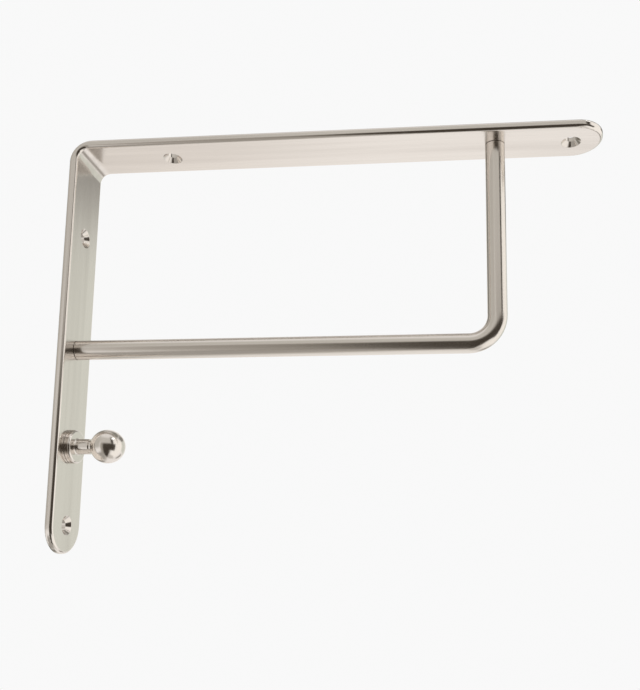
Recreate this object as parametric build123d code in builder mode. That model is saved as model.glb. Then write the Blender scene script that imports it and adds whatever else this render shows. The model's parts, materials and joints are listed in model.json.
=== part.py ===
"""A shelf bracket: a flat strap bent into an L, a round brace between its legs, and a turned peg.

The wall leg stands against the plane X = 0 and the shelf leg runs out along +X. The bracket is
symmetric about Y = 0. The origin is on the wall face, midway between the two wall screws.
"""

import os
from math import radians, sqrt, tan

from build123d import *

# Strap: flat bar, bent once, with both ends fully rounded
strap_width = 20.0
strap_thickness = 3.0
shelf_leg = 192.5  # wall face to the tip
wall_leg = 150.0  # shelf face to the lower end
bend_inside = 4.0
bend_outside = 8.0  # the bar thins a little where it is bent
arris_radius = 1.1

# Screw holes, two in each leg on its centreline, countersunk on the inner faces
screw_hole_radius = 2.0
countersink_radius = 3.5
countersink_angle = 90.0
countersink_rim_radius = 0.2
wall_hole_inset = 10.0  # lower end to the lower hole
wall_hole_pitch = 106.5
shelf_hole_inset = 11.0  # tip to the outer hole
shelf_hole_pitch = 146.5

# Brace: round bar, bent once
rod_radius = 3.5
rod_bend_radius = 10.0  # at the bar's centreline
rod_reach = 154.5  # wall face to the axis of the upright run
rod_drop = 76.5  # shelf face to the axis of the level run
rod_end_chamfer = 0.15

# Tenons of the brace and the peg: riveted through the strap into a countersink in its outer face
tenon_radius = 2.0
tenon_head_radius = 3.2
tenon_head_angle = 90.0
tenon_rim_chamfer = 0.12  # leaves a fine line around the flush head

# Peg: turned in one piece, its lengths measured from the strap's front face
peg_drop = 112.0  # shelf face to the peg's axis
flange_radius = 6.0
flange_thickness = 2.3
flange_rim_radius = 0.8
flange_groove_start = 0.9
flange_groove_width = 0.3
flange_groove_depth = 0.35
neck_radius = 2.75
neck_length = 7.0
neck_cove_radius = 0.5
neck_groove_depth = 0.5
ball_radius = 6.0
ball_reach = 13.4  # strap face to the ball's centre

# Heights above the origin
shelf_top_z = wall_leg - wall_hole_inset - wall_hole_pitch / 2
shelf_under_z = shelf_top_z - strap_thickness
wall_end_z = shelf_top_z - wall_leg
rod_level_z = shelf_top_z - rod_drop
peg_z = shelf_top_z - peg_drop

wall_hole_zs = (-wall_hole_pitch / 2, wall_hole_pitch / 2)
shelf_hole_xs = (shelf_leg - shelf_hole_inset - shelf_hole_pitch, shelf_leg - shelf_hole_inset)
tenon_head_depth = (tenon_head_radius - tenon_radius) / tan(radians(tenon_head_angle / 2))
along_axis = (Align.CENTER, Align.CENTER, Align.MIN)


def wall_front(z):
    """The wall leg's front face at height z, facing the room."""
    return Plane(origin=(strap_thickness, 0, z), x_dir=(0, 1, 0), z_dir=(1, 0, 0))


def wall_back(z):
    """The wall leg's back face at height z, facing the wall."""
    return Plane(origin=(0, 0, z), x_dir=(0, 1, 0), z_dir=(-1, 0, 0))


def shelf_under(x):
    """The shelf leg's underside at reach x, facing down."""
    return Plane(origin=(x, 0, shelf_under_z), x_dir=(1, 0, 0), z_dir=(0, 0, -1))


def shelf_top(x):
    """The shelf leg's top face at reach x, facing the shelf."""
    return Plane(origin=(x, 0, shelf_top_z), x_dir=(1, 0, 0), z_dir=(0, 0, 1))


def rims(piece, radius):
    """The piece's circular edges of that radius."""
    circles = piece.edges().filter_by(GeomType.CIRCLE)
    return circles.filter_by(lambda edge: abs(edge.radius - radius) < 1e-4)


def add_tenon(outer_face):
    """Add a tenon that fills the strap's thickness behind outer_face, spread flush into it."""
    with Locations(outer_face.offset(-strap_thickness)):
        Cylinder(tenon_radius, strap_thickness, align=along_axis)
    with Locations(outer_face.offset(-tenon_head_depth)):
        Cone(tenon_radius, tenon_head_radius, tenon_head_depth, align=along_axis)


# The strap: its side profile across the full width, trimmed to a round-ended outline on each leg
with BuildPart() as strap:
    with BuildSketch(Plane.XZ) as side_profile:
        with BuildLine():
            Polyline(
                (0, shelf_top_z),
                (shelf_leg, shelf_top_z),
                (shelf_leg, shelf_under_z),
                (strap_thickness, shelf_under_z),
                (strap_thickness, wall_end_z),
                (0, wall_end_z),
                close=True,
            )
        make_face()
        corners = side_profile.vertices()
        fillet(corners.sort_by_distance((0, shelf_top_z))[0], bend_outside)
        corners = side_profile.vertices()
        fillet(corners.sort_by_distance((strap_thickness, shelf_under_z))[0], bend_inside)
    extrude(amount=strap_width / 2, both=True)

    with BuildSketch(Plane.XY.offset(wall_end_z)):
        with Locations((shelf_leg - strap_width / 2, 0)):
            Circle(strap_width / 2)
            Rectangle(shelf_leg, strap_width, align=(Align.MAX, Align.CENTER))
    extrude(amount=wall_leg, mode=Mode.INTERSECT)

    with BuildSketch(Plane.YZ):
        with Locations((0, wall_end_z + strap_width / 2)):
            Circle(strap_width / 2)
            Rectangle(strap_width, wall_leg, align=(Align.CENTER, Align.MIN))
    extrude(amount=shelf_leg, mode=Mode.INTERSECT)

    across_thickness = strap.edges().filter_by(lambda edge: edge.length < strap_thickness + arris_radius)
    bend_lines = strap.edges().filter_by(Axis.Y)
    fillet(strap.edges() - across_thickness - bend_lines, arris_radius)

    with Locations(*[wall_front(z) for z in wall_hole_zs], *[shelf_under(x) for x in shelf_hole_xs]):
        CounterSinkHole(screw_hole_radius, countersink_radius, counter_sink_angle=countersink_angle)
    fillet(rims(strap, countersink_radius), countersink_rim_radius)

    with Locations(wall_back(rod_level_z), shelf_top(rod_reach), wall_back(peg_z)):
        CounterSinkHole(tenon_radius, tenon_head_radius, counter_sink_angle=tenon_head_angle)
strap.part.label = "strap"

# The brace: level out from the wall leg, one bend, then up to the shelf leg, butted on both
with BuildPart() as brace_rod:
    with BuildLine(Plane.XZ) as rod_path:
        FilletPolyline(
            (strap_thickness, rod_level_z),
            (rod_reach, rod_level_z),
            (rod_reach, shelf_under_z),
            radius=rod_bend_radius,
        )
    with BuildSketch(wall_front(rod_level_z)):
        Circle(rod_radius)
    sweep(path=rod_path.line)
    bar_rims = rims(brace_rod, rod_radius)
    chamfer([bar_rims.sort_by(Axis.X)[0], bar_rims.sort_by(Axis.Z)[-1]], rod_end_chamfer)

    add_tenon(wall_back(rod_level_z))
    add_tenon(shelf_top(rod_reach))
    chamfer(rims(brace_rod, tenon_head_radius), tenon_rim_chamfer)
brace_rod.part.label = "brace_rod"

# The peg: a stepped flange against the strap, a plain neck, a fine groove and a ball
with BuildPart() as hook_peg:
    groove_radius = neck_radius - neck_groove_depth
    ball_start = ball_reach - sqrt(ball_radius**2 - groove_radius**2)
    groove_end = flange_groove_start + flange_groove_width
    peg_section = Plane(origin=(strap_thickness, 0, peg_z), x_dir=(1, 0, 0), z_dir=(0, -1, 0))
    with BuildSketch(peg_section) as half_profile:
        with BuildLine():
            outline = Polyline(
                (0, 0),
                (0, flange_radius),
                (flange_groove_start, flange_radius),
                (flange_groove_start, flange_radius - flange_groove_depth),
                (groove_end, flange_radius - flange_groove_depth),
                (groove_end, flange_radius),
                (flange_thickness, flange_radius),
                (flange_thickness, neck_radius),
                (neck_length, neck_radius),
                (neck_length, groove_radius),
                (ball_start, groove_radius),
            )
            ThreePointArc(outline @ 1, (ball_reach, ball_radius), (ball_reach + ball_radius, 0))
            Line((ball_reach + ball_radius, 0), (0, 0))
        make_face()
        corners = half_profile.vertices()
        fillet(corners.sort_by_distance((flange_thickness, flange_radius))[0], flange_rim_radius)
        corners = half_profile.vertices()
        fillet(corners.sort_by_distance((flange_thickness, neck_radius))[0], neck_cove_radius)
    revolve(axis=Axis((strap_thickness, 0, peg_z), (1, 0, 0)))

    add_tenon(wall_back(peg_z))
    chamfer(rims(hook_peg, tenon_head_radius), tenon_rim_chamfer)
hook_peg.part.label = "hook_peg"

os.makedirs("parts", exist_ok=True)
for piece in (strap, brace_rod, hook_peg):
    export_step(piece.part, f"parts/{piece.part.label}.step")
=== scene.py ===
"""The look of a satin nickel shelf bracket: a bent strap, a round brace and a turned hook peg."""

import json
import math

import bpy
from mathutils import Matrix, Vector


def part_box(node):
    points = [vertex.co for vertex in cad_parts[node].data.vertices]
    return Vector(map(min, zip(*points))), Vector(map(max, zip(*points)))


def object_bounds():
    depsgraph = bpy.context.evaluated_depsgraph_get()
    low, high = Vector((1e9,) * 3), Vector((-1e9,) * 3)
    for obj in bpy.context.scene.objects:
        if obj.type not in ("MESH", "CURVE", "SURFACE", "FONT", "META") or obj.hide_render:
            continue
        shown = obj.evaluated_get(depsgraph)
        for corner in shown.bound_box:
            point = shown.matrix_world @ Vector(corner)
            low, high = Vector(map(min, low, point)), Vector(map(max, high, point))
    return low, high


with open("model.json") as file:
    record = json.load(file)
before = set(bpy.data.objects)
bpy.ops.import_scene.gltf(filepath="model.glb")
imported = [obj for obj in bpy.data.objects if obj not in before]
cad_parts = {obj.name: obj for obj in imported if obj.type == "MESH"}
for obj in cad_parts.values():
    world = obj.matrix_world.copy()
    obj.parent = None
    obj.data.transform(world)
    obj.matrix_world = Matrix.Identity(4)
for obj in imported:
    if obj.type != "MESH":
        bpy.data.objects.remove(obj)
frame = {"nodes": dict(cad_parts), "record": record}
cad_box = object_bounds()

# ---------------------------------------------------------------------------------------------
# The strap. A flat steel bar with eased edges, bent once into the L. It is linished along its
# length before it is plated, so its broad faces carry faint straight lines and its edges come out
# smoother. The four countersinks are cut with a turning bit, and they are the brightest part.
# ---------------------------------------------------------------------------------------------

MM = 0.001
STRAP_THICKNESS_MM = 3.0
COUNTERSINK_REACH_MM = 3.8  # from a screw hole's axis to just outside its rim
FLAT_FACE = 0.98  # a leg's flat face looks at least this squarely out of the leg
STRAP_DULL = (0.735, 0.692, 0.651, 1)
STRAP_BRIGHT = (0.830, 0.787, 0.744, 1)
STRAP_ROUGHNESS = 0.25
STREAK_ROUGHNESS = 0.22
LINE_GAIN = -0.04  # the roughness that a line takes away
EDGE_GAIN = -0.10  # the roughness that an eased edge or a countersink takes away

strap = frame["nodes"]["strap"]
strap_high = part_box("strap")[1]


def fill(tree, node, inputs):
    """Give a node's inputs plain values, or the outputs of other nodes."""
    for key, value in inputs.items():
        if isinstance(value, bpy.types.NodeSocket):
            tree.links.new(value, node.inputs[key])
        else:
            node.inputs[key].default_value = value


def put(tree, kind, inputs, **settings):
    """Add a node, change its settings and fill its inputs."""
    node = tree.nodes.new(kind)
    for name, value in settings.items():
        setattr(node, name, value)
    fill(tree, node, inputs)
    return node


def calc(tree, operation, *values):
    """The result of one step of arithmetic."""
    return put(tree, "ShaderNodeMath", dict(enumerate(values)), operation=operation).outputs[0]


def ramp(tree, value, from_low, from_high, to_low, to_high):
    """The value carried smoothly from one range to another, and held at its ends."""
    inputs = {0: value, 1: from_low, 2: from_high, 3: to_low, 4: to_high}
    return put(tree, "ShaderNodeMapRange", inputs, interpolation_type="SMOOTHSTEP").outputs[0]


def blend(tree, mask, first, second):
    """The first colour, turning into the second where the mask is 1."""
    return put(tree, "ShaderNodeMix", {0: mask, 6: first, 7: second}, data_type="RGBA").outputs[2]


def noise(tree, place, detail):
    """A cloudy pattern, from 0 to 1, with features about one unit wide."""
    inputs = {"Vector": place, "Scale": 1.0, "Detail": detail, "Roughness": 0.7}
    return put(tree, "ShaderNodeTexNoise", inputs).outputs[0]


def relief(tree, height, strength, depth_mm):
    """The surface's direction once fine marks are cut into it."""
    inputs = {"Strength": strength, "Distance": depth_mm * MM, "Height": height}
    return put(tree, "ShaderNodeBump", inputs).outputs[0]


def turned_about(tree, axis):
    """The direction that runs round an axis, which stretches the highlights."""
    return put(tree, "ShaderNodeTangent", {}, direction_type="RADIAL", axis=axis).outputs[0]


def new_group(name, inputs, outputs):
    """A node group with number inputs of given defaults, its input node and its output node."""
    group = bpy.data.node_groups.new(name, "ShaderNodeTree")
    for label, value in inputs.items():
        socket = group.interface.new_socket(label, in_out="INPUT", socket_type="NodeSocketFloat")
        socket.default_value = value
    for label in outputs:
        group.interface.new_socket(label, in_out="OUTPUT", socket_type="NodeSocketFloat")
    return group, group.nodes.new("NodeGroupInput"), group.nodes.new("NodeGroupOutput")


def place_group(tree, group, inputs):
    """The outputs of a node group placed in a tree."""
    return put(tree, "ShaderNodeGroup", inputs, node_tree=group).outputs


def new_metal(name, anisotropy):
    """A metal material, its node tree, its shader, and the point's X, Y and Z in millimetres."""
    material = bpy.data.materials.new(name)
    material.use_nodes = True
    tree = material.node_tree
    shader = tree.nodes["Principled BSDF"]
    shader.inputs["Metallic"].default_value = 1.0
    shader.inputs["Anisotropic"].default_value = anisotropy
    place = put(tree, "ShaderNodeTexCoord", {}).outputs["Object"]
    place_mm = put(tree, "ShaderNodeVectorMath", {0: place, "Scale": 1 / MM}, operation="SCALE")
    axes = put(tree, "ShaderNodeSeparateXYZ", {0: place_mm.outputs[0]})
    return material, tree, shader, axes.outputs


# Lines left by the abrasive belt: long along the work and fine across it, under broad soft streaks
belt_lines, given, result = new_group(
    "belt_lines",
    {"Along mm": 0.0, "Across mm": 0.0, "Depth mm": 0.0, "Length mm": 60.0, "Pitch mm": 0.45},
    ["Lines", "Streaks"],
)
given = given.outputs
along = calc(belt_lines, "DIVIDE", given["Along mm"], given["Length mm"])
across = calc(belt_lines, "DIVIDE", given["Across mm"], given["Pitch mm"])
depth = calc(belt_lines, "DIVIDE", given["Depth mm"], given["Pitch mm"])
belt_place = put(belt_lines, "ShaderNodeCombineXYZ", {0: along, 1: across, 2: depth}).outputs[0]
for output, stretch, detail in (
    ("Lines", (1.0, 1.0, 1.0), 4.0),
    ("Streaks", (0.5, 0.07, 0.07), 1.0),
):
    stretched = put(belt_lines, "ShaderNodeVectorMath", {0: belt_place, 1: stretch}, operation="MULTIPLY")
    pattern = noise(belt_lines, stretched.outputs[0], detail)
    belt_lines.links.new(ramp(belt_lines, pattern, 0.3, 0.7, 0.0, 1.0), result.inputs[output])

strap_metal, tree, shader, (x_mm, y_mm, z_mm) = new_metal("strap_satin_nickel", 0.35)
below_top = calc(tree, "SUBTRACT", strap_high.z / MM, z_mm)
along_legs = calc(tree, "SUBTRACT", x_mm, z_mm)
from_outer_face = calc(tree, "MINIMUM", x_mm, below_top)
belt = place_group(
    tree, belt_lines, {"Along mm": along_legs, "Across mm": y_mm, "Depth mm": from_outer_face}
)

# Where the surface is a countersink: near a screw hole's axis, and not on the leg's flat face
geometry = put(tree, "ShaderNodeNewGeometry", {})
facing = put(tree, "ShaderNodeSeparateXYZ", {0: geometry.outputs["Normal"]})
facing_x, facing_y, facing_z = [calc(tree, "ABSOLUTE", axis) for axis in facing.outputs]
mounts = {mount["name"]: mount for mount in frame["record"]["mounts"]}
wall_middle_mm = mounts["wall_screws"]["pos_m"][2] / MM
shelf_middle_mm = mounts["shelf_screws"]["pos_m"][0] / MM
wall_spacing_mm = mounts["wall_screws"]["dims"]["spacing_y_mm"]
shelf_spacing_mm = mounts["shelf_screws"]["dims"]["spacing_x_mm"]
countersink = 0.0
for along_leg, facing_out, middle_mm, spacing_mm in (
    (z_mm, facing_x, wall_middle_mm, wall_spacing_mm),
    (x_mm, facing_z, shelf_middle_mm, shelf_spacing_mm),
):
    for side in (-0.5, 0.5):
        offset = calc(tree, "SUBTRACT", along_leg, middle_mm + side * spacing_mm)
        squares = calc(tree, "MULTIPLY_ADD", offset, offset, calc(tree, "POWER", y_mm, 2.0))
        near = calc(tree, "LESS_THAN", calc(tree, "SQRT", squares), COUNTERSINK_REACH_MM)
        sunk = calc(tree, "MULTIPLY", near, calc(tree, "LESS_THAN", facing_out, FLAT_FACE))
        countersink = calc(tree, "MAXIMUM", countersink, sunk)

# The eased edges and the countersinks are smoother than the flat faces
off_flat_face = ramp(tree, facing_y, 0.05, 0.3, 0.0, 1.0)
off_side_face = ramp(tree, facing_y, 0.96, 0.999, 1.0, 0.0)
eased = calc(tree, "MULTIPLY", off_flat_face, off_side_face)
smoother = calc(tree, "MAXIMUM", countersink, eased)
lined = calc(tree, "MULTIPLY", belt["Lines"], calc(tree, "SUBTRACT", 1.0, smoother))
tone = calc(tree, "MULTIPLY_ADD", belt["Streaks"], 0.7, calc(tree, "MULTIPLY", lined, 0.3))
streaked = ramp(tree, belt["Streaks"], 0.0, 1.0, STRAP_ROUGHNESS, STREAK_ROUGHNESS)
flat_roughness = calc(tree, "MULTIPLY_ADD", lined, LINE_GAIN, streaked)
finish = {
    "Base Color": blend(tree, tone, STRAP_DULL, STRAP_BRIGHT),
    "Roughness": calc(tree, "MULTIPLY_ADD", smoother, EDGE_GAIN, flat_roughness),
    "Normal": relief(tree, lined, 0.15, 0.003),
    "Tangent": turned_about(tree, "Y"),
}
fill(tree, shader, finish)
strap.material_slots[0].material = strap_metal

# ---------------------------------------------------------------------------------------------
# The brace rod. Round steel bar, drawn smooth, bent cold and butted against both legs. Each end is
# chamfered, and the fine groove that this leaves at each joint gets a hairline of painted shade.
# ---------------------------------------------------------------------------------------------

ROD_DULL = (0.750, 0.706, 0.660, 1)
ROD_BRIGHT = (0.785, 0.742, 0.697, 1)
ROD_ROUGHNESS = 0.25
ROD_STREAK_ROUGHNESS = 0.20
ROD_LINE_PITCH_MM = 0.8
ROD_JOINT_MM = 0.15
# The colour of the painted shade in a joint's groove, and how matte that hairline is
JOINT_PAINTED_SHADE = (0.22, 0.195, 0.17, 1)
JOINT_SHADE_ROUGHNESS = 0.55

rod = frame["nodes"]["brace_rod"]
rod_low, rod_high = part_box("brace_rod")
rod_radius_mm = (rod_high.y - rod_low.y) / 2 / MM
shelf_under_mm = strap_high.z / MM - STRAP_THICKNESS_MM

# A hairline of painted shade beside a joint, as wide as the groove there
joint_shade_line, given, result = new_group("joint_shade_line", {"Distance mm": 0.0, "Width mm": 0.3}, ["Line"])
given = given.outputs
from_joint = calc(joint_shade_line, "ABSOLUTE", given["Distance mm"])
share = calc(joint_shade_line, "DIVIDE", from_joint, given["Width mm"])
joint_shade_line.links.new(ramp(joint_shade_line, share, 0.7, 1.2, 1.0, 0.0), result.inputs["Line"])

rod_metal, tree, shader, (x_mm, y_mm, z_mm) = new_metal("rod_satin_nickel", 0.3)
past_upright = calc(tree, "SUBTRACT", x_mm, rod_high.x / MM - rod_radius_mm)
below_level = calc(tree, "SUBTRACT", rod_low.z / MM + rod_radius_mm, z_mm)
lines_on_rod = {
    "Along mm": calc(tree, "ADD", x_mm, z_mm),
    "Across mm": y_mm,
    "Depth mm": calc(tree, "MAXIMUM", past_upright, below_level),
    "Pitch mm": ROD_LINE_PITCH_MM,
}
belt = place_group(tree, belt_lines, lines_on_rod)
from_wall_leg = calc(tree, "SUBTRACT", x_mm, STRAP_THICKNESS_MM)
from_shelf_leg = calc(tree, "SUBTRACT", shelf_under_mm, z_mm)
from_leg = calc(tree, "MINIMUM", from_wall_leg, from_shelf_leg)
# Painted shade: a dark hairline where the rod butts against each leg
joint = place_group(tree, joint_shade_line, {"Distance mm": from_leg, "Width mm": ROD_JOINT_MM})
nickel = blend(tree, belt["Lines"], ROD_DULL, ROD_BRIGHT)
drawn = ramp(tree, belt["Streaks"], 0.0, 1.0, ROD_ROUGHNESS, ROD_STREAK_ROUGHNESS)
matte_shade_line = calc(tree, "MULTIPLY", joint["Line"], JOINT_SHADE_ROUGHNESS)
# The base colour turns to the painted shade along the joint hairline
finish = {
    "Base Color": blend(tree, joint["Line"], nickel, JOINT_PAINTED_SHADE),
    "Roughness": calc(tree, "MAXIMUM", drawn, matte_shade_line),
    "Normal": relief(tree, belt["Lines"], 0.10, 0.003),
    "Tangent": turned_about(tree, "Y"),
}
fill(tree, shader, finish)
rod.material_slots[0].material = rod_metal

# ---------------------------------------------------------------------------------------------
# The hook peg. Turned from bar in one piece: grooved flange, neck, fine groove and ball. It keeps
# faint rings from the lathe and is buffed after plating, so it mirrors the room most clearly.
# ---------------------------------------------------------------------------------------------

PEG_DULL = (0.770, 0.728, 0.685, 1)
PEG_BRIGHT = (0.800, 0.758, 0.715, 1)
PEG_ROUGHNESS = 0.15
PEG_RING_ROUGHNESS = 0.20
PEG_RINGS_PER_MM = 5.0
PEG_JOINT_MM = 0.12

peg = frame["nodes"]["hook_peg"]

peg_metal, tree, shader, (x_mm, y_mm, z_mm) = new_metal("peg_bright_nickel", 0.2)
ring_place = put(tree, "ShaderNodeCombineXYZ", {0: calc(tree, "MULTIPLY", x_mm, PEG_RINGS_PER_MM)})
rings = noise(tree, ring_place.outputs[0], 3.0)
from_leg = calc(tree, "SUBTRACT", x_mm, STRAP_THICKNESS_MM)
# Painted shade: a dark hairline round the flange's base, where it meets the wall leg
joint = place_group(tree, joint_shade_line, {"Distance mm": from_leg, "Width mm": PEG_JOINT_MM})
nickel = blend(tree, rings, PEG_DULL, PEG_BRIGHT)
turned = ramp(tree, rings, 0.3, 0.7, PEG_ROUGHNESS, PEG_RING_ROUGHNESS)
matte_shade_line = calc(tree, "MULTIPLY", joint["Line"], JOINT_SHADE_ROUGHNESS)
# The base colour turns to the painted shade along that hairline
finish = {
    "Base Color": blend(tree, joint["Line"], nickel, JOINT_PAINTED_SHADE),
    "Roughness": calc(tree, "MAXIMUM", turned, matte_shade_line),
    "Normal": relief(tree, rings, 0.06, 0.004),
    "Tangent": turned_about(tree, "X"),
}
fill(tree, shader, finish)
peg.material_slots[0].material = peg_metal

# ---------------------------------------------------------------------------------------------
# The studio. A pale floor well below the hung bracket, fading into the white around it, in a large
# soft room: white behind and below, grey above and beside, and dark where the camera stands.
# ---------------------------------------------------------------------------------------------

FLOOR_DROP = 0.34  # below the bracket's lower end
FLOOR_REACH = 0.9
FLOOR_PAINT = (0.88, 0.88, 0.88, 1)
FLOOR_GLOW = 0.75  # how far the camera sees the background's white in place of the paint
FADE_START, FADE_END = 0.3, 0.9  # as shares of the floor's reach
WHITE = (0.945, 0.945, 0.945, 1)

centre = (cad_box[0] + cad_box[1]) / 2
floor_z = cad_box[0].z - FLOOR_DROP
corners = [
    (centre.x + side_x * FLOOR_REACH, centre.y + side_y * FLOOR_REACH, floor_z)
    for side_x, side_y in ((-1, -1), (1, -1), (1, 1), (-1, 1))
]
floor_mesh = bpy.data.meshes.new("studio_floor")
floor_mesh.from_pydata(corners, [], [(0, 1, 2, 3)])
floor = bpy.data.objects.new("studio_floor", floor_mesh)
bpy.context.collection.objects.link(floor)

# The metal looks through the floor, at the pale room below and the dark room in front
floor_paint = bpy.data.materials.new("floor_paint")
floor_paint.use_nodes = True
tree = floor_paint.node_tree
tree.nodes.clear()
light_path = put(tree, "ShaderNodeLightPath", {}).outputs
matt = put(tree, "ShaderNodeBsdfDiffuse", {"Color": FLOOR_PAINT}).outputs[0]
glow = put(tree, "ShaderNodeEmission", {"Color": WHITE, "Strength": 1.0}).outputs[0]
glow_share = calc(tree, "MULTIPLY", light_path["Is Camera Ray"], FLOOR_GLOW)
painted = put(tree, "ShaderNodeMixShader", {0: glow_share, 1: matt, 2: glow}).outputs[0]
place = put(tree, "ShaderNodeTexCoord", {}).outputs["Object"]
middle = (centre.x, centre.y, floor_z)
from_middle = put(tree, "ShaderNodeVectorMath", {0: place, 1: middle}, operation="DISTANCE")
fade_from, fade_to = FLOOR_REACH * FADE_START, FLOOR_REACH * FADE_END
fade = ramp(tree, from_middle.outputs["Value"], fade_from, fade_to, 0.0, 1.0)
mirrored = calc(tree, "MAXIMUM", light_path["Is Glossy Ray"], light_path["Is Transmission Ray"])
unseen = calc(tree, "MAXIMUM", fade, mirrored)
clear = put(tree, "ShaderNodeBsdfTransparent", {}).outputs[0]
surface = put(tree, "ShaderNodeMixShader", {0: unseen, 1: painted, 2: clear}).outputs[0]
put(tree, "ShaderNodeOutputMaterial", {"Surface": surface})
floor_mesh.materials.append(floor_paint)

# The colour of the room in each direction. Azimuth 0 is in front of the bracket, where the camera
# stands, 90 is on its right and 180 behind it. Each zone is painted over the ones before it.
ROOM = (0.99, 0.965, 0.94, 1)
ZONES = (
    # azimuth from, to, softness; elevation from, to, softness; colour
    ((-400, 400, 9), (56, 95, 8), (0.88, 0.86, 0.84)),  # ceiling
    ((-400, -105, 10), (46, 74, 6), (0.50, 0.48, 0.45)),  # between ceiling and backdrop
    ((105, 400, 10), (46, 74, 6), (0.28, 0.27, 0.24)),  # the same, on the right
    ((-150, 60, 10), (22, 56, 8), (0.62, 0.60, 0.56)),  # wall in front
    ((-150, 150, 12), (-95, -60, 8), (0.66, 0.63, 0.59)),  # near floor
    ((-166, -140, 8), (-45, -15, 8), (0.90, 0.86, 0.82)),  # backdrop's left side
    ((-150, -30, 8), (-12, 40, 10), (0.56, 0.54, 0.50)),  # left wall
    ((-118, -18, 9), (-80, -38, 8), (0.42, 0.40, 0.37)),  # shaded floor on the left
    ((-146, -112, 8), (-55, 46, 8), (0.25, 0.24, 0.21)),  # edge of the backdrop on the left
    ((118, 170, 5), (-14, 24, 3), (0.73, 0.745, 0.685)),  # backdrop's shaded end
    ((118, 170, 5), (24, 44, 2), (0.26, 0.25, 0.23)),  # top of that end
    ((143, 160, 5), (-46, -20, 5), (0.30, 0.28, 0.25)),  # doorway
    ((60, 126, 5), (-60, 33, 4), (1.10, 1.07, 1.02)),  # tall window
    ((42, 60, 3), (12, 60, 5), (0.06, 0.05, 0.04)),  # window frame
    ((-26, 46, 4), (-60, 21, 9), (0.40, 0.375, 0.335)),  # dim side of the room
    ((-9, 36, 3), (-80, 13, 5), (0.060, 0.050, 0.040)),  # dark middle of the room
    ((32, 74, 5), (-30, 13, 3), (0.060, 0.050, 0.040)),  # dark end of the room
)

soft_window, given, result = new_group(
    "soft_window", {"Value": 0.0, "From": 0.0, "To": 1.0, "Softness": 0.1}, ["Mask"]
)
value, start, end, softness = given.outputs[:4]


def soft_step(at):
    """A smooth step up where the value passes at."""
    low = calc(soft_window, "SUBTRACT", at, softness)
    high = calc(soft_window, "ADD", at, softness)
    return ramp(soft_window, value, low, high, 0.0, 1.0)


inside = calc(soft_window, "SUBTRACT", soft_step(start), soft_step(end))
soft_window.links.new(inside, result.inputs["Mask"])

world = bpy.data.worlds.new("studio")
bpy.context.scene.world = world
world.use_nodes = True
tree = world.node_tree
tree.nodes.clear()
look = put(tree, "ShaderNodeTexCoord", {}).outputs["Generated"]
look_x, look_y, look_z = put(tree, "ShaderNodeSeparateXYZ", {0: look}).outputs
turn = calc(tree, "ARCTAN2", look_x, calc(tree, "MULTIPLY", look_y, -1.0))
azimuth = calc(tree, "DEGREES", turn)
elevation = calc(tree, "DEGREES", calc(tree, "ARCSINE", look_z))
room = ROOM
for azimuths, elevations, colour in ZONES:
    masks = []
    for angle, (low, high, soft) in ((azimuth, azimuths), (elevation, elevations)):
        window = {"Value": angle, "From": low, "To": high, "Softness": soft}
        masks.append(place_group(tree, soft_window, window)["Mask"])
    room = blend(tree, calc(tree, "MULTIPLY", *masks), room, (*colour, 1))
room_light = put(tree, "ShaderNodeBackground", {"Color": room, "Strength": 1.0}).outputs[0]
backdrop = put(tree, "ShaderNodeBackground", {"Color": WHITE, "Strength": 1.0}).outputs[0]
by_camera = put(tree, "ShaderNodeLightPath", {}).outputs["Is Camera Ray"]
seen = put(tree, "ShaderNodeMixShader", {0: by_camera, 1: room_light, 2: backdrop}).outputs[0]
put(tree, "ShaderNodeOutputWorld", {"Surface": seen})


def softbox(name, azimuth, elevation, distance, width, height, power):
    """A rectangular lamp at a direction and distance from the bracket's middle, facing it."""
    lamp = bpy.data.lights.new(name, "AREA")
    lamp.shape = "RECTANGLE"
    lamp.size = width
    lamp.size_y = height
    lamp.energy = power
    stand = bpy.data.objects.new(name, lamp)
    bpy.context.collection.objects.link(stand)
    turn, lift = math.radians(azimuth), math.radians(elevation)
    offset = (
        math.sin(turn) * math.cos(lift) * distance,
        -math.cos(turn) * math.cos(lift) * distance,
        math.sin(lift) * distance,
    )
    stand.location = [middle + step for middle, step in zip(centre, offset)]
    towards = centre - stand.location
    stand.rotation_euler = towards.to_track_quat("-Z", "Y").to_euler()


softbox(
    "key_softbox", azimuth=62, elevation=50, distance=1.1, width=0.30, height=0.16, power=0.40
)

camera_data = bpy.data.cameras.new("camera")
camera = bpy.data.objects.new("camera", camera_data)
bpy.context.collection.objects.link(camera)
camera.location = (0.1361, -0.2555, -0.0655)
camera.rotation_euler = [math.radians(angle) for angle in (98.16, -0.38, 4.96)]
camera_data.lens = 39.27
camera_data.shift_x = -0.087
camera_data.shift_y = 0.159
camera_data.clip_start = 0.01
bpy.context.scene.camera = camera
bpy.context.scene.view_settings.view_transform = "Standard"
